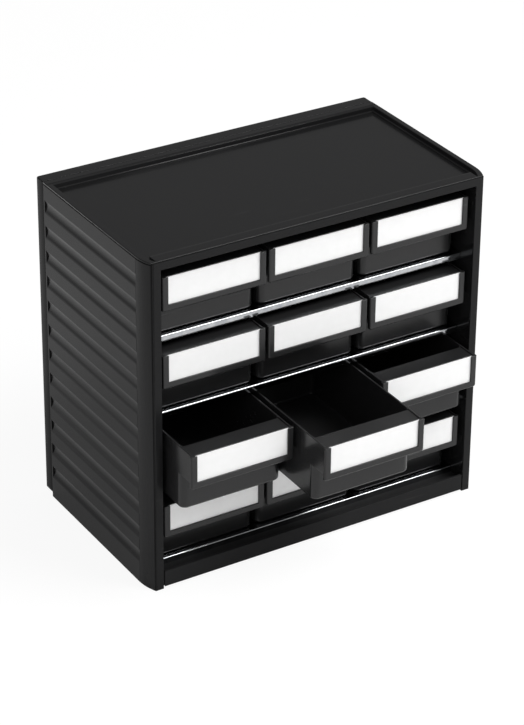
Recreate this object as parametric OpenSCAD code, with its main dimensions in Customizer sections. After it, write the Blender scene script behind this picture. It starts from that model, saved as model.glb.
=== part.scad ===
// Bench cabinet for small parts: a moulded housing, four steel shelves and twelve
// pull-out drawers with label cards. X runs across the front, Y towards the back, Z up.
// The third row is drawn pulled out, each drawer by its own amount.

/* [Housing] */
// Width over both side panels
cabinet_w = 310; // [290:1:400]
// Depth from the front frame to the back
cabinet_d = 180; // [165:1:240]
// Height from the floor to the top rim
cabinet_h = 290; // [270:1:360]
// Thickness of each side, from the outer face to the drawer opening
side_t = 11.7; // [10.5:0.1:16]
// Outer skin of the side panels where no groove is cut
outer_skin = 3.8; // [3.4:0.1:5]
// Inner skin of the side panels
inner_skin = 3.6; // [3.2:0.1:5]
// Depth over which the front corners curve inwards
corner_depth = 18.6; // [14:0.1:24]
// How far the front corners curve inwards
corner_taper = 5; // [3:0.1:6]
// Thickness of the front frame
frame_t = 1.5; // [1:0.1:3]
// Height of the front frame's top bar
top_bar_h = 7.3; // [6:0.1:10]
// Depth of the back panel
back_d = 12; // [8:0.1:20]
// Wall thickness of the back panel
back_wall = 3; // [2:0.1:4]
// Height of the back panel's lower edge above the floor
back_lift = 3.5; // [1:0.1:6]
// Corner radius of the back panel
back_r = 2; // [1:0.1:3]
// Width of the dark seams between housing pieces
seam = 0.4; // [0.2:0.05:0.8]
// Width of the seam under the side rims
rim_seam = 0.6; // [0.2:0.05:0.8]
// Depth of the seam behind the front frame
frame_seam_depth = 1; // [0.5:0.1:1.5]
// Play between the top panel and the side panels
panel_play = 0.2; // [0.1:0.05:0.4]

/* [Side grooves] */
// Height of one groove
groove_h = 9; // [6:0.1:11]
// Depth of one groove
groove_depth = 1.2; // [1:0.1:2]
// Distance between groove centres
groove_pitch = 22.2; // [20:0.1:23]
// Height of the lowest groove's centre
groove_first = 25.7; // [20:0.1:28]
// Distance from the grooves' rear ends to the back panel
groove_rear = 2; // [1:0.1:5]

/* [Top tray] */
// Width of the side rims
rim_w = 4.5; // [4:0.1:6]
// Thickness of the rim where it lies on the side panels
rim_t = 1.8; // [1.2:0.1:2.5]
// Thickness of the upright wall under the rim
rim_wall = 2; // [1.2:0.1:2.5]
// Depth of the tray below the rim
tray_depth = 4.7; // [3:0.1:5.2]
// Width of the band behind the front frame
band_w = 11.5; // [8:0.1:14]
// Distance from the band's ends to the outer side faces
band_end = 9; // [8:0.1:11]
// Width of the rear ledge, without the back panel
ledge_w = 8.8; // [8:0.1:12]
// Distance from the back panel to the fine groove along the ledge
ledge_groove_y = 5.6; // [4:0.1:6]
// Width of the fine groove along the ledge
ledge_groove_w = 0.5; // [0.3:0.05:0.8]
// Depth of the fine groove along the ledge
ledge_groove_depth = 0.5; // [0.3:0.05:0.8]

/* [Base] */
// Height of the base panel's front lip
lip_h = 14.1; // [12:0.1:18]
// Thickness of the base panel's front lip
lip_t = 2.5; // [2:0.1:4]
// Gap between the front lip's ends and the posts
lip_end_gap = 0.8; // [0.3:0.1:1.5]
// Height of the base panel above the floor
base_lift = 2; // [1:0.1:4]
// Thickness of the base panel's floor and ribs
base_t = 2.6; // [2:0.1:4]
// Height of the base floor's upper face above the floor
base_top = 10.6; // [8:0.1:14]

/* [Shelves] */
// Thickness of the steel sheet
sheet_t = 1; // [0.8:0.1:1.5]
// Height of the folded front and rear lips
shelf_lip_h = 5.5; // [4:0.1:8]
// Outer radius of the folds
fold_r = 1.4; // [1.1:0.1:2]
// Distance from the front frame's face to the shelves' front edge
shelf_inset = 17.2; // [12:0.1:20]
// Depth of the slots that hold the shelves
slot_depth = 2.2; // [1.5:0.1:2.6]
// Gap between the shelf lips and the side panels
shelf_lip_gap = 0.5; // [0.3:0.1:3]
// Height that the top panel takes from the top row
top_row_loss = 1; // [0:0.1:6]

/* [Drawers] */
// Gap between neighbouring front plates
plate_gap = 2.3; // [1.5:0.1:4]
// Gap between the outer front plates and the posts
post_gap = 3.3; // [1.5:0.1:5]
// Height of the front plates
plate_h = 28.9; // [24:0.1:36]
// Corner radius of the front plates
plate_r = 2; // [1:0.1:4]
// Distance from the front frame's face to the closed front plates
drawer_inset = 4.5; // [2:0.1:8]
// Space between the front plate and the bin, for the fingers
finger_gap = 13.6; // [12:0.1:18]
// Free height above the drawers
headroom = 10.9; // [9:0.1:16]
// Wall thickness of the bins
bin_wall = 1.8; // [1.4:0.1:2.5]
// How much narrower than its front plate a bin is, on each side
bin_inset = 1; // [0.4:0.1:1.5]
// Radius of the bins' upright corners
bin_r = 6; // [4:0.1:8]
// Radius of the bins' bottom edges
bin_bottom_r = 2.4; // [2:0.1:4]
// Gap between the bins and the back panel
bin_rear_gap = 4; // [2:0.1:10]
// Height of the side cheeks under the hood
cheek_h = 24.4; // [14:0.1:26]
// How far the hood lies below the bin's rim
hood_drop = 1; // [0.5:0.1:2]
// How far the hood reaches over the bin, behind its front wall
hood_reach = 1.4; // [0:0.1:4]
// Depth of the ribs that carry the cheeks down the front plate
plate_rib = 1.5; // [0.8:0.1:2.5]
// Running gap under the drawers
run_gap = 0.3; // [0.2:0.05:0.5]

/* [Label frames] */
// Thickness of the lips in front of the card
lip_front_t = 1.2; // [0.8:0.1:1.6]
// Depth of the slot that takes the card
card_slot_t = 0.7; // [0.6:0.05:1]
// Thickness of the plate behind the card
plate_back_t = 1.1; // [0.8:0.1:2]
// Width of the plate beside the label window
border_w = 5.4; // [4:0.1:8]
// Height of the plate under the label window
border_h = 5.4; // [4:0.1:8]
// Overlap of the lips and the card
card_overlap = 1; // [0.6:0.1:2]
// Thickness of the card
card_t = 0.6; // [0.3:0.05:0.6]
// Distance from the card's upper edge to the plate's
card_drop = 0.4; // [0.2:0.1:1]

/* [Pulled drawers] */
// How far the left drawer of the third row is pulled out
left_pull = 42.6; // [0:0.1:110]
// How far the middle drawer of the third row is pulled out
middle_pull = 83.7; // [0:0.1:110]
// How far the right drawer of the third row is pulled out
right_pull = 21; // [0:0.1:110]

/* [Hidden] */
COLUMNS = ["left", "middle", "right"];
ROWS = [1, 2, 3, 4];
PULLED_ROW = 3;
COLUMN_INDEXES = [for (index = [0:len(COLUMNS) - 1]) index];
function drawer_name(row, column) = str("drawer_", row, "_", COLUMNS[column]);
function label_name(row, column) = str("label_", row, "_", COLUMNS[column]);
function shelf_name(row) = str("shelf_", row);
HOUSING = ["left_side_panel", "right_side_panel", "top_panel", "back_panel", "base_panel", "front_frame"];

black = [0.16, 0.16, 0.165];
zinc = [0.72, 0.73, 0.74];
white = [0.95, 0.95, 0.95];

// Overrun of every cut
over = 0.5;
// Fineness of arcs
fine = 96;

// Housing, measured from the middle of its footprint
half_w = cabinet_w / 2;
front_y = -cabinet_d / 2;
back_y = cabinet_d / 2;
opening_x = half_w - side_t;
panel_front_y = front_y + frame_t;
panel_rear_y = back_y - back_d;
opening_top = cabinet_h - top_bar_h;
column_y = front_y + corner_depth;
corner_r = (corner_depth * corner_depth + corner_taper * corner_taper) / (2 * corner_taper);
corner_x = half_w - corner_r;
hollow_w = side_t - inner_skin - outer_skin;
rim_inset = rim_w - rim_wall;
groove_r = (groove_h * groove_h / 4 + groove_depth * groove_depth) / (2 * groove_depth);
groove_count = 1 + floor((opening_top - groove_first - groove_h / 2) / groove_pitch);
base_front_y = front_y + lip_t;
base_floor_z = base_top - base_t;

// Shelves and drawer bays
base_shelf_z = base_top + shelf_lip_h;
row_pitch = (opening_top + top_row_loss - base_shelf_z) / len(ROWS);
function shelf_z(row) = base_shelf_z + (len(ROWS) - row) * row_pitch;
shelf_front_y = front_y + shelf_inset;
shelf_rear_y = panel_rear_y - sheet_t;
// Play of the sheets in their slots, upwards and sideways
slot_play = 0.2;
slot_side_gap = 0.3;

// Drawers
plate_w = (2 * opening_x - 2 * post_gap - (len(COLUMNS) - 1) * plate_gap) / len(COLUMNS);
column_pitch = plate_w + plate_gap;
plate_t = lip_front_t + card_slot_t + plate_back_t;
bin_w = plate_w - 2 * bin_inset;
bin_h = row_pitch - headroom - run_gap;
bin_front = plate_t + finger_gap;
hood_z = bin_h - hood_drop - bin_wall;
closed_y = front_y + drawer_inset;
bin_rear = panel_rear_y - bin_rear_gap - closed_y;
window_w = plate_w - 2 * border_w;
window_h = plate_h - border_h;
card_play = card_slot_t - card_t;

pulls = [left_pull, middle_pull, right_pull];
function pull(row, column) = row == PULLED_ROW ? pulls[column] : 0;
function column_x(column) = (column - (len(COLUMNS) - 1) / 2) * column_pitch;

// The origin lies under the middle of the whole, pulled drawers included
centre_y = max(max(pulls) - drawer_inset, 0) / 2;

// Plan of the housing, drawn in by an inset all along its sides
module plan(inset, front, rear) {
    translate([inset - half_w, column_y]) square([2 * (half_w - inset), rear - column_y]);
    intersection() {
        translate([-half_w, front]) square([2 * half_w, column_y - front]);
        union() {
            for (side = [-1, 1]) translate([side * corner_x, column_y]) circle(r = corner_r - inset, $fn = 4 * fine);
            translate([-corner_x, front]) square([2 * corner_x, column_y - front]);
        }
    }
}

// Rectangle in the plane, its corners rounded
module rounded_square(w, d, r) {
    translate([r, 0]) square([w - 2 * r, d]);
    translate([0, r]) square([w, d - 2 * r]);
    for (x = [r, w - r]) for (y = [r, d - r]) translate([x, y]) circle(r = r, $fn = fine);
}

// Block with rounded upright corners and rounded bottom edges
module rounded_block(w, d, h, r, bottom_r) {
    intersection() {
        translate([-w / 2, 0, 0]) linear_extrude(h) rounded_square(w, d, r);
        translate([-w / 2, d + over, 0]) rotate([90, 0, 0])
            linear_extrude(d + 2 * over) rounded_square(w, 2 * h, bottom_r);
        translate([-w / 2 - over, 0, 0]) rotate([90, 0, 90])
            linear_extrude(w + 2 * over) rounded_square(d, 2 * h, bottom_r);
    }
}

// Right-hand side panel: curved front column, double wall, grooves outside, slots inside
module side_panel() {
    difference() {
        linear_extrude(cabinet_h - rim_t - rim_seam) intersection() {
            plan(0, panel_front_y, panel_rear_y);
            translate([opening_x, panel_front_y]) square([side_t, panel_rear_y - panel_front_y]);
        }
        rim_seat();
        for (number = [0:groove_count - 1]) groove(groove_first + number * groove_pitch);
        for (row = ROWS) side_slot(shelf_z(row) - sheet_t, sheet_t + slot_play, shelf_front_y);
        side_slot(base_floor_z, base_t, base_front_y);
        for (number = [0:len(ROWS)]) wall_hollow(number);
    }
}

// Step in the side panel's upper end that takes the top panel
module rim_seat() {
    translate([0, 0, opening_top]) linear_extrude(cabinet_h - opening_top)
        plan(rim_inset - panel_play, panel_front_y - over, panel_rear_y + over);
}

// Hollow with a round floor, cut along the side from the curved column to its rear end
module groove(z) {
    translate([half_w - groove_depth + groove_r, column_y, z]) rotate([-90, 0, 0])
        cylinder(r = groove_r, h = panel_rear_y - groove_rear - column_y, $fn = 2 * fine);
}

// Slot in the inner skin, open at the rear
module side_slot(z, h, front) {
    translate([opening_x - over, front, z]) cube([slot_depth + over, panel_rear_y + over - front, h]);
}

// Hollow between the two skins, open at the rear, with webs at the shelves' heights
module wall_hollow(number) {
    low = number == 0 ? inner_skin : shelf_z(len(ROWS) + 1 - number);
    high = number == len(ROWS) ? opening_top - inner_skin : shelf_z(len(ROWS) - number) - inner_skin;
    translate([opening_x + inner_skin, column_y + outer_skin, low])
        cube([hollow_w, panel_rear_y + over - column_y - outer_skin, high - low]);
}

module left_side_panel() {
    color(black) mirror([1, 0, 0]) side_panel();
}

module right_side_panel() {
    color(black) side_panel();
}

// Lid with a stacking tray, a rim round it, a band along the front and a rear ledge
module top_panel() {
    tray_rear_y = panel_rear_y - ledge_w;
    color(black) difference() {
        union() {
            translate([0, 0, cabinet_h - rim_t]) linear_extrude(rim_t) plan(0, panel_front_y, panel_rear_y);
            translate([0, 0, opening_top]) linear_extrude(top_bar_h - rim_t)
                plan(rim_inset, panel_front_y, panel_rear_y);
        }
        difference() {
            translate([0, 0, cabinet_h - tray_depth]) linear_extrude(tray_depth + over)
                plan(rim_w, panel_front_y + frame_t, tray_rear_y);
            translate([band_end - half_w, panel_front_y, opening_top])
                cube([2 * (half_w - band_end), band_w, top_bar_h]);
        }
        translate([-half_w - over, panel_rear_y - ledge_groove_y - ledge_groove_w, cabinet_h - ledge_groove_depth])
            cube([cabinet_w + 2 * over, ledge_groove_w, ledge_groove_depth + over]);
    }
}

// Shallow rear cover with a flange all round
module back_panel() {
    h = cabinet_h - back_lift;
    color(black) difference() {
        translate([-half_w, panel_rear_y, back_lift]) linear_extrude(h) back_plan();
        translate([back_wall - half_w, panel_rear_y - over, back_lift + back_wall])
            cube([cabinet_w - 2 * back_wall, back_d - back_wall + over, h - 2 * back_wall]);
        back_seam(back_lift, h);
    }
}

// Plan of the back panel: both rear corners rounded
module back_plan() {
    square([cabinet_w, back_d - back_r]);
    translate([back_r, 0]) square([cabinet_w - 2 * back_r, back_d]);
    for (x = [back_r, cabinet_w - back_r]) translate([x, back_d - back_r]) circle(r = back_r, $fn = fine);
}

// Shallow step round the back panel's front edge, which makes the seam
module back_seam(z, h) {
    edge = back_wall / 2;
    translate([-half_w - over, panel_rear_y - over, z - over]) difference() {
        cube([cabinet_w + 2 * over, seam + over, h + 2 * over]);
        translate([edge + over, -over, edge + over]) cube([cabinet_w - 2 * edge, seam + 3 * over, h - 2 * edge]);
    }
}

// Bottom panel between the sides: front lip, floor with tongues in the side slots, ribs
module base_panel() {
    rib_h = base_floor_z - base_lift;
    depth = panel_rear_y - base_front_y;
    color(black) union() {
        translate([lip_end_gap - opening_x, front_y, base_lift]) cube([2 * (opening_x - lip_end_gap), lip_t, lip_h]);
        translate([-opening_x - slot_depth, base_front_y, base_floor_z])
            cube([2 * (opening_x + slot_depth), depth, base_t]);
        translate([-opening_x, panel_rear_y - base_t, base_lift]) cube([2 * opening_x, base_t, rib_h]);
        for (x = [-opening_x, -base_t / 2, opening_x - base_t]) translate([x, base_front_y, base_lift])
            cube([base_t, depth, rib_h]);
    }
}

// Thin inverted U round the drawer opening, drawn in at its rear edge to make a seam
module front_frame() {
    color(black) difference() {
        union() {
            linear_extrude(cabinet_h) frame_plan(0, front_y, frame_t - seam);
            linear_extrude(cabinet_h - frame_seam_depth) frame_plan(frame_seam_depth, front_y, frame_t);
        }
        translate([-opening_x, front_y - over, -over])
            cube([2 * opening_x, frame_t + 2 * over, opening_top + over]);
    }
}

// Slice of the housing's plan, as deep as the front frame or a layer of it
module frame_plan(inset, front, depth) {
    intersection() {
        plan(inset, front, panel_rear_y);
        translate([-half_w, front]) square([cabinet_w, depth]);
    }
}

// Steel shelf: sheet held in the side slots, with a folded lip at the front and at the rear
module shelf(row) {
    lip_x = opening_x - shelf_lip_gap;
    edge_x = opening_x + slot_depth - slot_side_gap;
    depth = shelf_rear_y - shelf_front_y;
    color(zinc) translate([0, shelf_front_y, shelf_z(row)]) union() {
        translate([-edge_x, fold_r, -sheet_t]) cube([2 * edge_x, depth - 2 * fold_r, sheet_t]);
        translate([-lip_x, 0, 0]) folded_lip(2 * lip_x);
        translate([lip_x, depth, 0]) rotate([0, 0, 180]) folded_lip(2 * lip_x);
    }
}

// Strip along X that turns down round the fold, its front at y = 0 and its top at z = 0
module folded_lip(length) {
    rotate([90, 0, 90]) linear_extrude(length) {
        translate([0, -shelf_lip_h]) square([sheet_t, shelf_lip_h - fold_r]);
        intersection() {
            translate([0, -fold_r]) square([fold_r, fold_r]);
            translate([fold_r, -fold_r]) difference() {
                circle(r = fold_r, $fn = fine);
                circle(r = fold_r - sheet_t, $fn = fine);
            }
        }
    }
}

// One drawer, its front plate's face at y = 0 and its underside at z = 0
module drawer_body() {
    difference() {
        union() {
            difference() {
                union() {
                    translate([0, bin_front, 0])
                        rounded_block(bin_w, bin_rear - bin_front, bin_h, bin_r, bin_bottom_r);
                    for (side = [-1, 1]) cheek(side);
                }
                translate([0, bin_front + bin_wall, bin_wall])
                    rounded_block(bin_w - 2 * bin_wall, bin_rear - bin_front - 2 * bin_wall, 2 * bin_h,
                        bin_r - bin_wall, bin_bottom_r - bin_wall);
                hood_slab(hood_drop + over, hood_z + bin_wall);
            }
            hood_slab(bin_wall, hood_z);
            front_plate();
        }
        label_slot();
    }
}

// Slab between the cheeks, from the front plate to the hood's rear edge
module hood_slab(h, z) {
    hood_w = bin_w - 2 * bin_wall;
    translate([-hood_w / 2, plate_t, z]) cube([hood_w, finger_gap + bin_wall + hood_reach, h]);
}

// Upright plate with rounded lower corners
module front_plate() {
    translate([-plate_w / 2, plate_t, bin_h - plate_h]) rotate([90, 0, 0])
        linear_extrude(plate_t) intersection() {
            square([plate_w, plate_h]);
            rounded_square(plate_w, 2 * plate_h, plate_r);
        }
}

// Side cheek in line with the bin's side, and its rib down the front plate
module cheek(side) {
    translate([side * (bin_w - bin_wall) / 2 - bin_wall / 2, plate_t, 0]) {
        translate([0, 0, bin_h - cheek_h]) cube([bin_wall, finger_gap + bin_r, cheek_h]);
        translate([0, 0, bin_h - plate_h]) cube([bin_wall, plate_rib, plate_h]);
    }
}

// Window in the front plate and the wider slot behind it, both open at the top
module label_slot() {
    slot_w = window_w + 2 * card_overlap;
    translate([-window_w / 2, -over, bin_h - window_h])
        cube([window_w, lip_front_t + 2 * over, window_h + over]);
    translate([-slot_w / 2, lip_front_t, bin_h - window_h - card_overlap])
        cube([slot_w, card_slot_t, window_h + card_overlap + over]);
}

// Card that stands on the slot's floor, against its back
module card() {
    card_w = window_w + 2 * card_overlap - 2 * card_play;
    card_h = window_h + card_overlap - card_drop;
    translate([-card_w / 2, lip_front_t + card_play, bin_h - card_drop - card_h])
        cube([card_w, card_t, card_h]);
}

// Puts a drawer or its card into its bay, pulled out as drawn
module in_bay(row, column) {
    translate([column_x(column), closed_y - pull(row, column), shelf_z(row) + run_gap]) children();
}

module drawer(row, column) {
    color(black) in_bay(row, column) drawer_body();
}

module label_card(row, column) {
    color(white) in_bay(row, column) card();
}

translate([0, centre_y, 0]) {
    left_side_panel();
    right_side_panel();
    top_panel();
    back_panel();
    base_panel();
    front_frame();
    for (row = ROWS) {
        shelf(row);
        for (column = COLUMN_INDEXES) {
            drawer(row, column);
            label_card(row, column);
        }
    }
}
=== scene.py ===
import math

import bmesh
import bpy
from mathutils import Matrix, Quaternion, Vector


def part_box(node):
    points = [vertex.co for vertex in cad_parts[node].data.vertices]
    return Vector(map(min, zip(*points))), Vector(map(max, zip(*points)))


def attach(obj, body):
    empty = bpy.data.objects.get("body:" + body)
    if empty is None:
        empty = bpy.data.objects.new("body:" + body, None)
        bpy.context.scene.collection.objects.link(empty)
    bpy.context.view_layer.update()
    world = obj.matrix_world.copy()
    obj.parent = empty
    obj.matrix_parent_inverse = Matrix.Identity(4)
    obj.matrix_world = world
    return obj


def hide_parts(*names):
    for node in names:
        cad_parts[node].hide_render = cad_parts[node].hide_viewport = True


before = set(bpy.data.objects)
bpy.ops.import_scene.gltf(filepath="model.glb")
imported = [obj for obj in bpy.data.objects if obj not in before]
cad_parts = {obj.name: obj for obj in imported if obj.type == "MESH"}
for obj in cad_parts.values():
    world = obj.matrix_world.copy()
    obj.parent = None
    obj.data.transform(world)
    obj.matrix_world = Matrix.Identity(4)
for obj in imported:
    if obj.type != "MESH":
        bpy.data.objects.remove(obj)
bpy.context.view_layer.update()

# Lengths are written in millimetres and turned into metres here
MM = 0.001
TINY = 0.01 * MM
SINK = 0.5 * MM              # how far a cutter or a joined part reaches into or past its neighbour

# Housing
CABINET_W = 310 * MM
CABINET_D = 180 * MM
CABINET_H = 290 * MM
SIDE_SKIN = 3 * MM           # outermost part of a side panel, where its edges are rounded
COLUMN_DEPTH = 18.6 * MM     # plain column in front of a side's flat
OPENING_X = 143.3 * MM       # from the middle to the side of the drawers' opening
FRAME_T = 1.5 * MM
BACK_D = 12 * MM
BASE_LIP_D = 3 * MM          # front part of the base panel, where its lip is

# Top panel
TRAY_DEPTH = 4.7 * MM
TRAY_REAR = 69.2 * MM        # from the housing's middle back to the rear ledge
BAND_W = 11.5 * MM           # front band, behind the frame
RIM_T = 1.8 * MM             # rim where it lies on the side panels
SEAM_W = 0.4 * MM
SEAM_DEPTH = 0.5 * MM

# Side grooves: the floor is two arcs, and a lip leads from it to the lower edge
GROOVE_TOP = 5 * MM          # upper edge above a groove's middle
UPPER_ARC_H = 6.3 * MM
LOWER_ARC_H = 3.4 * MM
GROOVE_LIP_H = 2.5 * MM
GROOVE_TILT = math.radians(22)
ARC_STEPS = 6
GROOVE_DEPTH = 1.2 * MM
GROOVE_PITCH = 22.2 * MM
GROOVE_FIRST = 25.7 * MM     # middle of the lowest groove above the ground
GROOVE_COUNT = 12
GROOVE_REAR = 2 * MM         # from the grooves' rear ends to the flat's rear edge
GROOVE_REACH = 9 * MM        # from a groove's middle to beyond its edges
CREASE_W = 0.35 * MM         # fine line between a side's column and its flat
CREASE_DEPTH = 0.15 * MM

# Drawers, measured from the middle of the front plate's face and from the underside
PLATE_W = 91.8 * MM
PLATE_H = 28.9 * MM
PLATE_T = 3 * MM
PLATE_R = 2 * MM
PLATE_RIB = 1.5 * MM         # rib behind each end of the plate
BIN_W = 89.8 * MM
BIN_H = 55.7 * MM
BIN_FRONT = 16.6 * MM
BIN_REAR = 159.5 * MM
BIN_WALL = 1.8 * MM
BIN_R = 6 * MM               # upright corners
BIN_BOTTOM_R = 2.4 * MM
BIN_INNER_BOTTOM_R = 2 * MM
CHEEK_H = 24.4 * MM
HOOD_DROP = 1 * MM           # from the bin's top down to the hood
HOOD_REACH = 1.4 * MM        # hood's rear edge behind the bin's front wall
LABEL_LIP_T = 1.2 * MM       # label frame in front of the card's slot
LABEL_SLOT_T = 0.7 * MM
BORDER_W = 5.4 * MM          # label frame beside its window
BORDER_H = 5.4 * MM          # label frame below its window
CARD_OVERLAP = 1 * MM

INNER_X = BIN_W / 2 - BIN_WALL
HOOD_TOP = BIN_H - HOOD_DROP
HOOD_REAR = BIN_FRONT + BIN_WALL + HOOD_REACH
PLATE_Z = BIN_H - PLATE_H
WINDOW_X = PLATE_W / 2 - BORDER_W

# Rounded edges
CRISP_R = 0.3 * MM
SOFT_R = 0.5 * MM
BAND_R = 2.2 * MM            # front band towards the tray
LEDGE_R = 1.3 * MM           # rear ledge towards the tray
LEDGE_FOOT_R = 0.6 * MM
TRAY_FOOT_R = 1.4 * MM
BACK_R = 1.2 * MM            # back panel's upper and lower edges
FRAME_OUTER_R = 0.9 * MM
FRAME_INNER_R = 0.4 * MM
PLATE_RIM_R = 1.4 * MM
BEVEL_LARGEST = 3 * MM       # an edge's bevel weight is its radius as a share of this
CORNER_SEGMENTS = 9
EDGE_SEGMENTS = 5
SHARP_ANGLE = math.radians(20)
FLAT_ANGLE = math.radians(0.3)
ALONG = 0.9                  # an edge runs along an axis if its direction's part on it is more

# Colours
HOUSING_BLACK = (0.011, 0.011, 0.0114)
BASE_BLACK = (0.021, 0.021, 0.0215)
DRAWER_BLACK = (0.016, 0.016, 0.0165)
DUST = (0.12, 0.12, 0.115)
SCRATCH = (0.06, 0.06, 0.06)
ZINC_DARK = (0.36, 0.37, 0.39)
ZINC_LIGHT = (0.54, 0.55, 0.56)
CARD_DARK = (0.9, 0.9, 0.895)
CARD_LIGHT = (0.95, 0.95, 0.95)
FLOOR_PAINT = (0.9, 0.9, 0.9, 1)
WHITE = (1, 1, 1, 1)

# Surfaces, their relief as heights in millimetres
ZINC_WAVE_H = 0.006
ZINC_LINE_H = 0.0002
CARD_FIBRE_H = 0.002
SPECK_LARGEST = 0.03         # a speck's radius as a share of its cell
SPECK_RARITY = 9.0           # power of a random number, which leaves few specks large
SCRATCH_DULLNESS = 0.25      # added to the roughness where a scratch is
EDGE_GLOSS = 0.08            # taken off the roughness where an edge is
EDGE_REACH = 0.06            # pointiness past that of a flat at which the gloss is full
FLAT_POINTINESS = 0.51       # a surface's pointiness is more than this only at its edges

# Studio, in metres
FLOOR_R = 8
FLOOR_GLOW = 1.06
GLOW_SEEN = 0.85             # share of the glow that the camera sees
GLOW_MIRRORED = 0.11         # share of the glow that shiny faces mirror
LEVEL_BEFORE = 0.5           # strength of the surroundings in front of the cabinet
LEVEL_BEHIND = 0.275
LAMP_AIM = (0, 0, 0.2)

# Camera, fitted to the photograph; the focal length, the shift and the photograph's height are in pixels
CAMERA_AROUND = math.radians(31.593)
CAMERA_ABOVE = math.radians(27.002)
CAMERA_ROLL = math.radians(0.498)
CAMERA_DISTANCE = 2207.7 * MM
TARGET_X = -0.03 * MM
TARGET_Z = 215.07 * MM
PHOTO_H = 725
FOCAL_LENGTH = 2748.0
LENS_SHIFT = 102.5
SENSOR_W = 36                # in millimetres, as Blender takes it
CLIP_END = 50                # in metres

ROWS = (1, 2, 3, 4)
COLUMNS = ("left", "middle", "right")
REAR_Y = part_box("back_panel")[1].y
MIDDLE_Y = REAR_Y - CABINET_D / 2


def at(x, y, z):
    """Point given in metres."""
    return Vector((x, y, z))


def front_y(distance):
    """Place behind the front frame's face."""
    return REAR_Y - CABINET_D + distance


def near(value, wanted):
    return abs(value - wanted) < TINY


def block(low, high):
    """Closed block between two opposite corners."""
    bm = bmesh.new()
    bmesh.ops.create_cube(bm, size=1)
    bmesh.ops.scale(bm, vec=high - low, verts=bm.verts)
    bmesh.ops.translate(bm, vec=(low + high) / 2, verts=bm.verts)
    return bm


def edges_where(bm, test):
    """Edges whose middle and direction pass a test."""
    chosen = []
    for edge in bm.edges:
        start, end = (vert.co for vert in edge.verts)
        if test((start + end) / 2, (end - start).normalized()):
            chosen.append(edge)
    return chosen


def round_edges(bm, edges, radius, segments):
    bmesh.ops.bevel(bm, geom=edges, offset=radius, offset_type="OFFSET", segments=segments,
                    profile=0.5, affect="EDGES", clamp_overlap=True, material=-1)


def tub(low, high, corner_r, bottom_r):
    """Block with round upright corners and round bottom edges."""
    bm = block(low, high)
    upright = edges_where(bm, lambda middle, way: abs(way.z) > ALONG)
    round_edges(bm, upright, corner_r, CORNER_SEGMENTS)
    bottom = edges_where(bm, lambda middle, way: middle.z < low.z + TINY)
    round_edges(bm, bottom, bottom_r, EDGE_SEGMENTS)
    return bm


def linked_object(name, bm):
    """New object in the scene, made of a form that is used up."""
    mesh = bpy.data.meshes.new(name)
    bm.to_mesh(mesh)
    bm.free()
    linked = bpy.data.objects.new(name, mesh)
    bpy.context.scene.collection.objects.link(linked)
    return linked


def combine(base, tools, operation):
    """One closed form joined with others, or cut by them."""
    for tool in tools:
        first = linked_object("loose", base)
        second = linked_object("loose", tool)
        change = first.modifiers.new("change", "BOOLEAN")
        change.operation = operation
        change.solver = "EXACT"
        change.object = second
        result = first.evaluated_get(bpy.context.evaluated_depsgraph_get())
        base = bmesh.new()
        base.from_mesh(result.to_mesh())
        result.to_mesh_clear()
        for spent in (first, second):
            mesh = spent.data
            bpy.data.objects.remove(spent)
            bpy.data.meshes.remove(mesh)
    return base


def join_flats(bm):
    """Merges doubled corners and joins faces that lie in one plane."""
    bmesh.ops.remove_doubles(bm, verts=bm.verts, dist=TINY / 10)
    bmesh.ops.dissolve_limit(bm, angle_limit=FLAT_ANGLE, verts=bm.verts, edges=bm.edges)
    bmesh.ops.recalc_face_normals(bm, faces=bm.faces)


def copy_of(node):
    """Merged copy of a CAD node's mesh."""
    bm = bmesh.new()
    bm.from_mesh(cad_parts[node].data)
    join_flats(bm)
    return bm


def soften(bm, rules):
    """Gives each sharp edge the radius of the first rule that it passes, and keeps the others sharp."""
    weights = bm.edges.layers.float.new("bevel_weight_edge")
    for edge in bm.edges:
        if len(edge.link_faces) != 2 or edge.calc_face_angle() < SHARP_ANGLE:
            continue
        start, end = (vert.co for vert in edge.verts)
        for radius, test in rules:
            if test((start + end) / 2, (end - start).normalized(), edge.is_convex):
                edge[weights] = radius / BEVEL_LARGEST
                break
        else:
            edge.smooth = False


def finish_piece(name, bm, body, finish, nodes, segments=3):
    """Turns a form into a piece that stands for CAD nodes and moves with their body."""
    for face in bm.faces:
        face.smooth = True
    piece = linked_object(name, bm)
    rounding = piece.modifiers.new("rounding", "BEVEL")
    rounding.limit_method = "WEIGHT"
    rounding.offset_type = "OFFSET"
    rounding.use_clamp_overlap = False
    rounding.width = BEVEL_LARGEST
    rounding.segments = segments
    shading = piece.modifiers.new("shading", "WEIGHTED_NORMAL")
    shading.keep_sharp = True
    piece.data.materials.append(FINISHES[finish])
    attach(piece, body)
    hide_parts(*nodes)


def add_node(tree, kind, inputs=None, **properties):
    """New node, its inputs given as values or as the sockets that feed them."""
    node = tree.nodes.new(kind)
    for key, value in properties.items():
        setattr(node, key, value)
    for label, source in (inputs or {}).items():
        if isinstance(source, bpy.types.NodeSocket):
            tree.links.new(source, node.inputs[label])
        else:
            node.inputs[label].default_value = source
    return node


def maths(tree, operation, first, second):
    return add_node(tree, "ShaderNodeMath", {0: first, 1: second}, operation=operation).outputs[0]


def ramp(tree, value, low, high, to_low=0.0, to_high=1.0):
    """Straight ramp between two values, level below the one and above the other."""
    limits = {"From Min": low, "From Max": high, "To Min": to_low, "To Max": to_high}
    return add_node(tree, "ShaderNodeMapRange", {"Value": value, **limits}).outputs["Result"]


def object_place(tree):
    return add_node(tree, "ShaderNodeTexCoord").outputs["Object"]


def noise(tree, place, scale, detail, **others):
    inputs = {"Vector": place, "Scale": scale, "Detail": detail, **others}
    return add_node(tree, "ShaderNodeTexNoise", inputs).outputs["Fac"]


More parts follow.
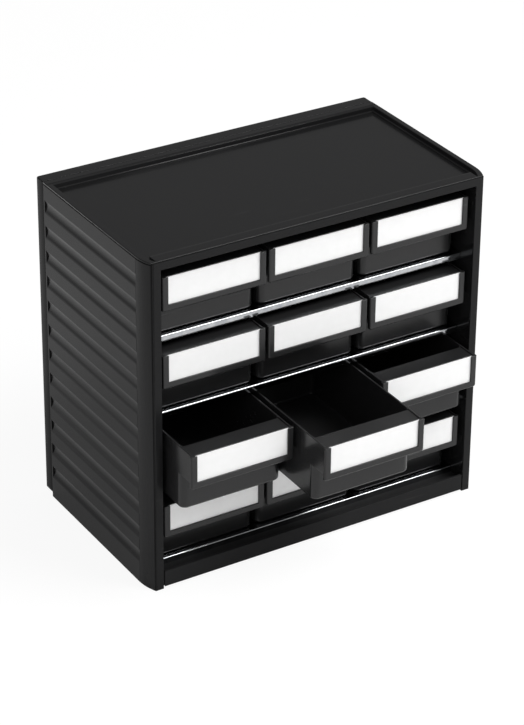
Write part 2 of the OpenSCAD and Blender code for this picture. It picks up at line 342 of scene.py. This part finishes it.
def facing_up(tree, low, high, most=1.0):
    """Rises from 0 to its most as a surface turns upwards, between two values of its normal's Z."""
    normal = add_node(tree, "ShaderNodeNewGeometry").outputs["Normal"]
    normal_z = add_node(tree, "ShaderNodeSeparateXYZ", {"Vector": normal}).outputs["Z"]
    return ramp(tree, normal_z, low, high, to_high=most)


def blend_colours(tree, share, first, second):
    mix = add_node(tree, "ShaderNodeMix", {"Factor": share}, data_type="RGBA")
    for label, colour in (("A", first), ("B", second)):
        socket = next(s for s in mix.inputs if s.name == label and s.type == "RGBA")
        if isinstance(colour, bpy.types.NodeSocket):
            tree.links.new(colour, socket)
        else:
            socket.default_value = (*colour, 1)
    return next(s for s in mix.outputs if s.type == "RGBA")


def bump_from(tree, shader, height):
    """Bump whose height is in millimetres."""
    bump = add_node(tree, "ShaderNodeBump", {"Height": height, "Distance": MM})
    tree.links.new(bump.outputs["Normal"], shader.inputs["Normal"])


def principled(name, **constants):
    """Material with one Principled shader and the constants of its finish."""
    material = bpy.data.materials.new(name)
    material.use_nodes = True
    shader = material.node_tree.nodes["Principled BSDF"]
    for label, value in constants.items():
        shader.inputs[label.replace("_", " ")].default_value = value
    return material, material.node_tree, shader


def effect(name, inputs, outputs):
    """Empty node group with named number inputs and outputs."""
    group = bpy.data.node_groups.new(name, "ShaderNodeTree")
    for label, value in inputs.items():
        socket = group.interface.new_socket(label, in_out="INPUT", socket_type="NodeSocketFloat")
        socket.default_value = value
    for label in outputs:
        group.interface.new_socket(label, in_out="OUTPUT", socket_type="NodeSocketFloat")
    given = group.nodes.new("NodeGroupInput").outputs
    return group, given, group.nodes.new("NodeGroupOutput").inputs


def place_effect(tree, group, **values):
    node = add_node(tree, "ShaderNodeGroup", node_tree=group)
    for label, value in values.items():
        node.inputs[label.replace("_", " ")].default_value = value
    return node.outputs


def repeats(group, spacing):
    """Texture scale that repeats once in a spacing given in millimetres."""
    return maths(group, "DIVIDE", 1000.0, spacing)


def moulded_skin():
    """Fine eroded grain and slow sink waves of a moulded wall, as a height in millimetres."""
    inputs = {"Grain Size": 0.4, "Grain Depth": 0.006, "Wave Depth": 0.05}
    group, given, out = effect("moulded skin", inputs, ("Height", "Patch"))
    place = object_place(group)
    grain = noise(group, place, scale=repeats(group, given["Grain Size"]), detail=3.0)
    wave = noise(group, place, scale=24.0, detail=1.0)
    patch = noise(group, place, scale=70.0, detail=4.0, Roughness=0.6)
    grain_height = maths(group, "MULTIPLY", grain, given["Grain Depth"])
    wave_height = maths(group, "MULTIPLY", wave, given["Wave Depth"])
    group.links.new(maths(group, "ADD", grain_height, wave_height), out["Height"])
    group.links.new(patch, out["Patch"])
    return group


def handling_marks():
    """Dust specks on what faces up, and sparse fine scratches, each as a mask from 0 to 1."""
    inputs = {"Speck Spacing": 9.0, "Scratch Spacing": 5.0}
    group, given, out = effect("handling marks", inputs, ("Specks", "Scratches"))
    place = object_place(group)

    # One speck in each cell, large in few of them
    cell_scale = repeats(group, given["Speck Spacing"])
    cell = add_node(group, "ShaderNodeTexVoronoi", {"Vector": place, "Scale": cell_scale})
    chance = add_node(group, "ShaderNodeSeparateColor", {"Color": cell.outputs["Color"]}).outputs["Red"]
    size = maths(group, "MULTIPLY", maths(group, "POWER", chance, SPECK_RARITY), SPECK_LARGEST)
    speck = maths(group, "LESS_THAN", cell.outputs["Distance"], size)
    group.links.new(maths(group, "MULTIPLY", speck, facing_up(group, low=0.2, high=0.9)), out["Specks"])

    # Scratches are the crests of a noise drawn out along a slanting line
    slant = {"Vector": place, "Rotation": (0.5, 0.3, 0.6), "Scale": (0.05, 1.0, 1.0)}
    lay = add_node(group, "ShaderNodeMapping", slant).outputs["Vector"]
    streak = noise(group, lay, scale=repeats(group, given["Scratch Spacing"]), detail=2.0)
    thin = ramp(group, streak, low=0.66, high=0.72)
    sparse = ramp(group, noise(group, place, scale=16.0, detail=2.0), low=0.52, high=0.66)
    group.links.new(maths(group, "MULTIPLY", thin, sparse), out["Scratches"])
    return group


def edge_polish():
    """Mask of the rounded edges, which handling has polished a little."""
    group, given, out = effect("edge polish", {"Reach": EDGE_REACH}, ("Edge",))
    bend = add_node(group, "ShaderNodeNewGeometry").outputs["Pointiness"]
    most_bent = maths(group, "ADD", FLAT_POINTINESS, given["Reach"])
    group.links.new(ramp(group, bend, low=FLAT_POINTINESS, high=most_bent), out["Edge"])
    return group


EFFECTS = {"skin": moulded_skin(), "marks": handling_marks(), "edges": edge_polish()}


def moulded_plastic(name, base, marks, roughness, spread, level, skin, rough_top=0.0):
    """Moulded plastic; rough_top is added to the roughness of what faces up."""
    material, tree, shader = principled(name, Specular_IOR_Level=level)
    relief = place_effect(tree, EFFECTS["skin"], **skin)
    mark = place_effect(tree, EFFECTS["marks"], Speck_Spacing=8.0, Scratch_Spacing=3.5)
    edge = place_effect(tree, EFFECTS["edges"], Reach=EDGE_REACH)["Edge"]

    dusted = blend_colours(tree, mark["Specks"], base, DUST)
    scratched = maths(tree, "MULTIPLY", mark["Scratches"], marks)
    tree.links.new(blend_colours(tree, scratched, dusted, SCRATCH), shader.inputs["Base Color"])

    patchy = ramp(tree, relief["Patch"], low=0.3, high=0.7,
                  to_low=roughness - spread, to_high=roughness + spread)
    rubbed = maths(tree, "ADD", patchy, facing_up(tree, low=0.8, high=0.95, most=rough_top))
    polished = maths(tree, "SUBTRACT", rubbed, maths(tree, "MULTIPLY", edge, EDGE_GLOSS))
    worn = maths(tree, "ADD", polished, maths(tree, "MULTIPLY", scratched, SCRATCH_DULLNESS))
    tree.links.new(worn, shader.inputs["Roughness"])
    bump_from(tree, shader, relief["Height"])
    return material


def zinc_sheet():
    """Zinc-plated sheet: soft blotches, fine rolling lines along X and a slightly wavy face."""
    material, tree, shader = principled("zinc_plate", Metallic=1.0)
    place = object_place(tree)
    blotch = noise(tree, place, scale=130.0, detail=5.0, Roughness=0.65)
    tone = blend_colours(tree, ramp(tree, blotch, low=0.35, high=0.65), ZINC_DARK, ZINC_LIGHT)
    tree.links.new(tone, shader.inputs["Base Color"])

    drawn_out = {"Vector": place, "Scale": (6.0, 900.0, 900.0)}
    along = add_node(tree, "ShaderNodeMapping", drawn_out).outputs["Vector"]
    lines = noise(tree, along, scale=1.0, detail=3.0)
    dull = ramp(tree, lines, low=0.3, high=0.7, to_low=0.05, to_high=0.12)
    tree.links.new(dull, shader.inputs["Roughness"])

    wavy = maths(tree, "MULTIPLY", noise(tree, place, scale=45.0, detail=1.0), ZINC_WAVE_H)
    rolled = maths(tree, "MULTIPLY", lines, ZINC_LINE_H)
    bump_from(tree, shader, maths(tree, "ADD", wavy, rolled))
    return material


def paper_card():
    """White card: faint cloudiness and a fine fibre."""
    material, tree, shader = principled("label_card", Roughness=0.6, Specular_IOR_Level=0.35)
    place = object_place(tree)
    cloud = noise(tree, place, scale=160.0, detail=4.0)
    tree.links.new(blend_colours(tree, cloud, CARD_DARK, CARD_LIGHT), shader.inputs["Base Color"])
    fibre = noise(tree, place, scale=5000.0, detail=3.0)
    bump_from(tree, shader, maths(tree, "MULTIPLY", fibre, CARD_FIBRE_H))
    return material


# The frame and the base are housing plastic too, each from a mould of its own
HOUSING_SKIN = {"Grain_Size": 0.45, "Grain_Depth": 0.005, "Wave_Depth": 0.05}
FINER_SKIN = {"Grain_Size": 0.35, "Grain_Depth": 0.003, "Wave_Depth": 0.04}
DRAWER_SKIN = {"Grain_Size": 0.3, "Grain_Depth": 0.0012, "Wave_Depth": 0.03}
FINISHES = {
    "housing_plastic": moulded_plastic("housing_plastic", HOUSING_BLACK, marks=0.25, roughness=0.18,
                                       spread=0.03, level=0.2, skin=HOUSING_SKIN),
    "frame_plastic": moulded_plastic("frame_plastic", HOUSING_BLACK, marks=0.25, roughness=0.25,
                                     spread=0.04, level=0.13, skin=FINER_SKIN),
    "base_plastic": moulded_plastic("base_plastic", BASE_BLACK, marks=0.25, roughness=0.5,
                                    spread=0.04, level=0.03, skin=FINER_SKIN),
    "drawer_plastic": moulded_plastic("drawer_plastic", DRAWER_BLACK, marks=0.4, roughness=0.22,
                                      spread=0.03, level=0.38, skin=DRAWER_SKIN, rough_top=0.2),
    "zinc_plate": zinc_sheet(),
    "label_card": paper_card(),
}


def groove_profile():
    """A groove's cross-section from its upper to its lower edge: heights from its middle and depths."""
    deepest = (LOWER_ARC_H + GROOVE_LIP_H) * math.tan(GROOVE_TILT / 2)
    upper_tilt = 2 * math.atan(deepest / UPPER_ARC_H)
    upper_r = UPPER_ARC_H / math.sin(upper_tilt)
    lower_r = LOWER_ARC_H / math.sin(GROOVE_TILT)
    lip_r = GROOVE_LIP_H / math.sin(GROOVE_TILT)
    middle = GROOVE_TOP - UPPER_ARC_H
    low = GROOVE_TOP - (UPPER_ARC_H + LOWER_ARC_H + GROOVE_LIP_H)
    points = []
    for step in range(ARC_STEPS, 0, -1):
        angle = upper_tilt * step / ARC_STEPS
        points.append((middle + upper_r * math.sin(angle), deepest - upper_r * (1 - math.cos(angle))))
    for step in range(ARC_STEPS):
        angle = GROOVE_TILT * step / ARC_STEPS
        points.append((middle - lower_r * math.sin(angle), deepest - lower_r * (1 - math.cos(angle))))
    for step in range(ARC_STEPS, -1, -1):
        angle = GROOVE_TILT * step / ARC_STEPS
        points.append((low + lip_r * math.sin(angle), lip_r * (1 - math.cos(angle))))
    return points


def groove_cutters(side, front, rear):
    """Closed bars with the grooves' cross-section, reaching out of the side's flat."""
    profile = groove_profile()
    profile = [(profile[0][0], -SINK), *profile, (profile[-1][0], -SINK)]
    bm = bmesh.new()
    for number in range(GROOVE_COUNT):
        middle_z = GROOVE_FIRST + number * GROOVE_PITCH
        outline = [(side * (CABINET_W / 2 - depth), front, middle_z + z) for z, depth in profile]
        end = bm.faces.new([bm.verts.new(corner) for corner in outline])
        bar = bmesh.ops.extrude_face_region(bm, geom=[end])
        moved = [item for item in bar["geom"] if isinstance(item, bmesh.types.BMVert)]
        bmesh.ops.translate(bm, vec=at(0, rear - front, 0), verts=moved)
    bmesh.ops.recalc_face_normals(bm, faces=bm.faces)
    return bm


def slab_on_side(side, inner, outer, low_y, high_y, low_z, high_z):
    """Block on a side of the housing, between two distances from its middle."""
    low_x, high_x = sorted((side * inner, side * outer))
    return block(at(low_x, low_y, low_z), at(high_x, high_y, high_z))


def make_side_panels():
    """Side panels: the CAD's plain grooves are filled and cut again with their curved floor."""
    half = CABINET_W / 2
    flat_front = front_y(COLUMN_DEPTH)
    flat_rear = REAR_Y - BACK_D
    grooves_rear = flat_rear - GROOVE_REAR
    grooves_low = GROOVE_FIRST - GROOVE_REACH
    grooves_high = GROOVE_FIRST + (GROOVE_COUNT - 1) * GROOVE_PITCH + GROOVE_REACH
    above_grooves = GROOVE_FIRST + GROOVE_COUNT * GROOVE_PITCH - GROOVE_REACH

    def outer(middle, convex):
        return abs(middle.x) > half - SIDE_SKIN and convex

    def on_flat(middle):
        return flat_front - 2 * CREASE_W < middle.y < flat_rear - GROOVE_REAR / 2

    rules = [
        (CRISP_R, lambda middle, way, convex: outer(middle, convex) and not on_flat(middle)),
        (CRISP_R, lambda middle, way, convex: outer(middle, convex) and abs(way.y) > ALONG
         and middle.z > above_grooves),
    ]
    for side, name in ((-1, "left"), (1, "right")):
        bm = copy_of(f"{name}_side_panel")
        filler = slab_on_side(side, half - 1.5 * GROOVE_DEPTH, half,
                              flat_front, grooves_rear, grooves_low, grooves_high)
        bm = combine(bm, [filler], "UNION")
        join_flats(bm)
        crease = slab_on_side(side, half - CREASE_DEPTH, half + SINK,
                              flat_front - CREASE_W, flat_front, -SINK, CABINET_H)
        bm = combine(bm, [groove_cutters(side, flat_front, grooves_rear), crease], "DIFFERENCE")
        join_flats(bm)
        soften(bm, rules)
        finish_piece(f"{name}_side", bm, "cabinet", "housing_plastic", [f"{name}_side_panel"])


def make_top_panel():
    """Top panel, with a seam behind the ledge's round edge and one at the back panel."""
    top = CABINET_H
    floor = top - TRAY_DEPTH
    rear = MIDDLE_Y + TRAY_REAR
    panel_rear = REAR_Y - BACK_D
    band_rear = front_y(FRAME_T + BAND_W)
    outer_x = CABINET_W / 2 - FRAME_T
    bm = copy_of("top_panel")
    seams = []
    for seam_front, seam_rear in ((rear + LEDGE_R + SEAM_W, rear + LEDGE_R + 2 * SEAM_W),
                                  (panel_rear - SEAM_W, panel_rear + SINK)):
        seams.append(block(at(-outer_x, seam_front, top - SEAM_DEPTH), at(outer_x, seam_rear, top + SINK)))
    bm = combine(bm, seams, "DIFFERENCE")
    join_flats(bm)
    soften(bm, [
        (BAND_R, lambda middle, way, convex: near(middle.y, band_rear) and middle.z > top - TINY),
        (LEDGE_R, lambda middle, way, convex: near(middle.y, rear) and middle.z > top - TINY),
        (LEDGE_FOOT_R, lambda middle, way, convex: near(middle.y, rear) and near(middle.z, floor)),
        (TRAY_FOOT_R, lambda middle, way, convex: near(middle.z, floor) and not convex),
        (SOFT_R, lambda middle, way, convex: near(middle.z, top) and convex
         and (middle.y < rear or abs(middle.x) > outer_x)),
        (CRISP_R, lambda middle, way, convex: near(middle.z, top - RIM_T) and convex),
    ])
    finish_piece("top", bm, "cabinet", "housing_plastic", ["top_panel"], segments=4)


def make_back_panel():
    bm = copy_of("back_panel")
    low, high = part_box("back_panel")
    cover_front = REAR_Y - BACK_D + FRAME_T
    soften(bm, [
        (BACK_R, lambda middle, way, convex: convex and middle.y > cover_front
         and (middle.z > high.z - TINY or middle.z < low.z + TINY)),
        (CRISP_R, lambda middle, way, convex: convex and middle.z > high.z - TINY),
    ])
    finish_piece("back", bm, "cabinet", "housing_plastic", ["back_panel"])


def make_base_panel():
    bm = copy_of("base_panel")
    soften(bm, [(SOFT_R, lambda middle, way, convex: convex and middle.y < front_y(BASE_LIP_D))])
    finish_piece("base", bm, "cabinet", "base_plastic", ["base_panel"])


def make_front_frame():
    """Front frame, its outer edges rounder than those towards the drawers."""
    bm = copy_of("front_frame")
    face = front_y(TINY)
    outer_x = OPENING_X + FRAME_T
    outer_z = CABINET_H - FRAME_T
    soften(bm, [
        (FRAME_OUTER_R, lambda middle, way, convex: convex and middle.y < face
         and (abs(middle.x) > outer_x or middle.z > outer_z)),
        (FRAME_INNER_R, lambda middle, way, convex: convex and middle.y < face),
    ])
    finish_piece("frame", bm, "cabinet", "frame_plastic", ["front_frame"])


def drawer_bin():
    """Bin with side cheeks that reach the front plate, open at the top and above the hood."""
    half = BIN_W / 2
    form = tub(at(-half, BIN_FRONT, 0), at(half, BIN_REAR, BIN_H), BIN_R, BIN_BOTTOM_R)
    front = PLATE_T - SINK
    cheeks = []
    for side in (-1, 1):
        cheeks.append(slab_on_side(side, INNER_X, half, front, BIN_FRONT + BIN_R, BIN_H - CHEEK_H, BIN_H))
        cheeks.append(slab_on_side(side, INNER_X, half, front, PLATE_T + PLATE_RIB, PLATE_Z, BIN_H))
    form = combine(form, cheeks, "UNION")
    inner = tub(at(-INNER_X, BIN_FRONT + BIN_WALL, BIN_WALL), at(INNER_X, BIN_REAR - BIN_WALL, 2 * BIN_H),
                BIN_R - BIN_WALL, BIN_INNER_BOTTOM_R)
    above_hood = block(at(-INNER_X, 0, HOOD_TOP), at(INNER_X, HOOD_REAR, BIN_H + SINK))
    return combine(form, [inner, above_hood], "DIFFERENCE")


def front_plate():
    """Front plate with round lower corners, still without its label frame."""
    plate = block(at(-PLATE_W / 2, 0, PLATE_Z), at(PLATE_W / 2, PLATE_T, BIN_H))
    corners = edges_where(plate, lambda middle, way: abs(way.y) > ALONG and middle.z < PLATE_Z + TINY)
    round_edges(plate, corners, PLATE_R, EDGE_SEGMENTS)
    return plate


def label_cutters():
    """The label frame's window and the card's slot behind it, both open at the top."""
    low = PLATE_Z + BORDER_H
    window = block(at(-WINDOW_X, -SINK, low), at(WINDOW_X, LABEL_LIP_T + SINK, BIN_H + SINK))
    slot_x = WINDOW_X + CARD_OVERLAP
    slot = block(at(-slot_x, LABEL_LIP_T, low - CARD_OVERLAP),
                 at(slot_x, LABEL_LIP_T + LABEL_SLOT_T, BIN_H + SINK))
    return [window, slot]


def drawer_form():
    """One drawer, its front plate's face at y = 0 and its underside at z = 0."""
    hood = block(at(-INNER_X - SINK, PLATE_T - SINK, HOOD_TOP - BIN_WALL),
                 at(INNER_X + SINK, HOOD_REAR, HOOD_TOP))
    form = combine(drawer_bin(), [hood, front_plate()], "UNION")
    form = combine(form, label_cutters(), "DIFFERENCE")
    join_flats(form)
    soften(form, [
        (PLATE_RIM_R, lambda middle, way, convex: convex and middle.y < TINY and middle.z < BIN_H - TINY
         and (abs(middle.x) > WINDOW_X + BORDER_W / 2 or middle.z < PLATE_Z + BORDER_H / 2)),
        (CRISP_R, lambda middle, way, convex: convex and middle.y < TINY),
        (SOFT_R, lambda middle, way, convex: convex and middle.z > BIN_H - TINY),
        (SOFT_R, lambda middle, way, convex: convex and middle.y > HOOD_REAR - TINY
         and middle.z > HOOD_TOP - TINY),
        (CRISP_R, lambda middle, way, convex: convex and near(middle.y, PLATE_T)),
        (CRISP_R, lambda middle, way, convex: convex and near(middle.z, BIN_H - CHEEK_H)),
    ])
    return form


def make_drawers():
    form = drawer_form()
    for row in ROWS:
        for column in COLUMNS:
            node = f"drawer_{row}_{column}"
            low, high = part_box(node)
            bm = form.copy()
            bmesh.ops.translate(bm, vec=at((low.x + high.x) / 2, low.y, low.z), verts=bm.verts)
            finish_piece(f"{node}_moulding", bm, node, "drawer_plastic", [node])
    form.free()


def dress(node, finish):
    """Finish on a CAD node, which keeps its form."""
    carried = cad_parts[node]
    for place in carried.material_slots:
        place.material = FINISHES[finish]


def dress_shelves_and_cards():
    for row in ROWS:
        dress(f"shelf_{row}", "zinc_plate")
        for column in COLUMNS:
            dress(f"label_{row}_{column}", "label_card")


def make_floor():
    """White floor that glows towards the camera and, more faintly, towards shiny faces."""
    bm = bmesh.new()
    bmesh.ops.create_circle(bm, cap_ends=True, segments=64, radius=FLOOR_R)
    floor = linked_object("floor", bm)
    material, tree, shader = principled("floor_paint", Base_Color=FLOOR_PAINT, Roughness=0.8)
    seen = add_node(tree, "ShaderNodeLightPath").outputs
    mirrored = maths(tree, "MAXIMUM", seen["Is Glossy Ray"], seen["Is Transmission Ray"])
    direct = maths(tree, "MULTIPLY", seen["Is Camera Ray"], GLOW_SEEN)
    share = maths(tree, "MAXIMUM", direct, maths(tree, "MULTIPLY", mirrored, GLOW_MIRRORED))
    glow = add_node(tree, "ShaderNodeEmission", {"Color": WHITE, "Strength": FLOOR_GLOW})
    mixed = add_node(tree, "ShaderNodeMixShader", {0: share, 1: shader.outputs[0], 2: glow.outputs[0]})
    tree.links.new(mixed.outputs[0], tree.nodes["Material Output"].inputs["Surface"])
    floor.data.materials.append(material)


def make_world():
    """Surroundings that light more from the front than from behind, and look white to the camera."""
    world = bpy.data.worlds.new("studio")
    bpy.context.scene.world = world
    world.use_nodes = True
    tree = world.node_tree
    studio = tree.nodes["Background"]
    studio.inputs["Color"].default_value = WHITE
    direction = add_node(tree, "ShaderNodeTexCoord").outputs["Generated"]
    depth = add_node(tree, "ShaderNodeSeparateXYZ", {"Vector": direction}).outputs["Y"]
    level = ramp(tree, depth, low=-0.6, high=0.7, to_low=LEVEL_BEFORE, to_high=LEVEL_BEHIND)
    tree.links.new(level, studio.inputs["Strength"])
    white = add_node(tree, "ShaderNodeBackground", {"Color": WHITE, "Strength": 1.0})
    seen = add_node(tree, "ShaderNodeLightPath").outputs["Is Camera Ray"]
    mixed = add_node(tree, "ShaderNodeMixShader", {0: seen, 1: studio.outputs[0], 2: white.outputs[0]})
    tree.links.new(mixed.outputs[0], tree.nodes["World Output"].inputs["Surface"])


def make_lamp(name, place, side, power):
    """Square light box, aimed at the cabinet."""
    data = bpy.data.lights.new(name, "AREA")
    data.shape = "SQUARE"
    data.size = side
    data.energy = power
    lamp = bpy.data.objects.new(name, data)
    bpy.context.scene.collection.objects.link(lamp)
    lamp.location = place
    lamp.rotation_euler = (Vector(LAMP_AIM) - Vector(place)).to_track_quat("-Z", "Y").to_euler()


def make_camera():
    """Camera at the photograph's angle, its lens shifted down as a view camera's."""
    sideways = -math.sin(CAMERA_AROUND) * math.cos(CAMERA_ABOVE)
    forwards = -math.cos(CAMERA_AROUND) * math.cos(CAMERA_ABOVE)
    away = at(sideways, forwards, math.sin(CAMERA_ABOVE))
    data = bpy.data.cameras.new("camera")
    data.sensor_width = SENSOR_W
    data.lens = FOCAL_LENGTH / PHOTO_H * SENSOR_W
    data.shift_y = -LENS_SHIFT / PHOTO_H
    data.clip_end = CLIP_END
    camera = bpy.data.objects.new("camera", data)
    bpy.context.scene.collection.objects.link(camera)
    camera.location = at(TARGET_X, MIDDLE_Y, TARGET_Z) + CAMERA_DISTANCE * away
    camera.rotation_mode = "QUATERNION"
    camera.rotation_quaternion = away.to_track_quat("Z", "Y") @ Quaternion((0, 0, 1), CAMERA_ROLL)
    bpy.context.scene.camera = camera


make_side_panels()
make_top_panel()
make_back_panel()
make_base_panel()
make_front_frame()
make_drawers()
dress_shelves_and_cards()
make_floor()
make_world()
make_lamp("right box", place=(0.98, -0.95, 1.79), side=1.1, power=38)
make_lamp("left box", place=(-1.5, -1.3, 1.6), side=1.4, power=5)
make_camera()
bpy.context.scene.view_settings.view_transform = "Standard"
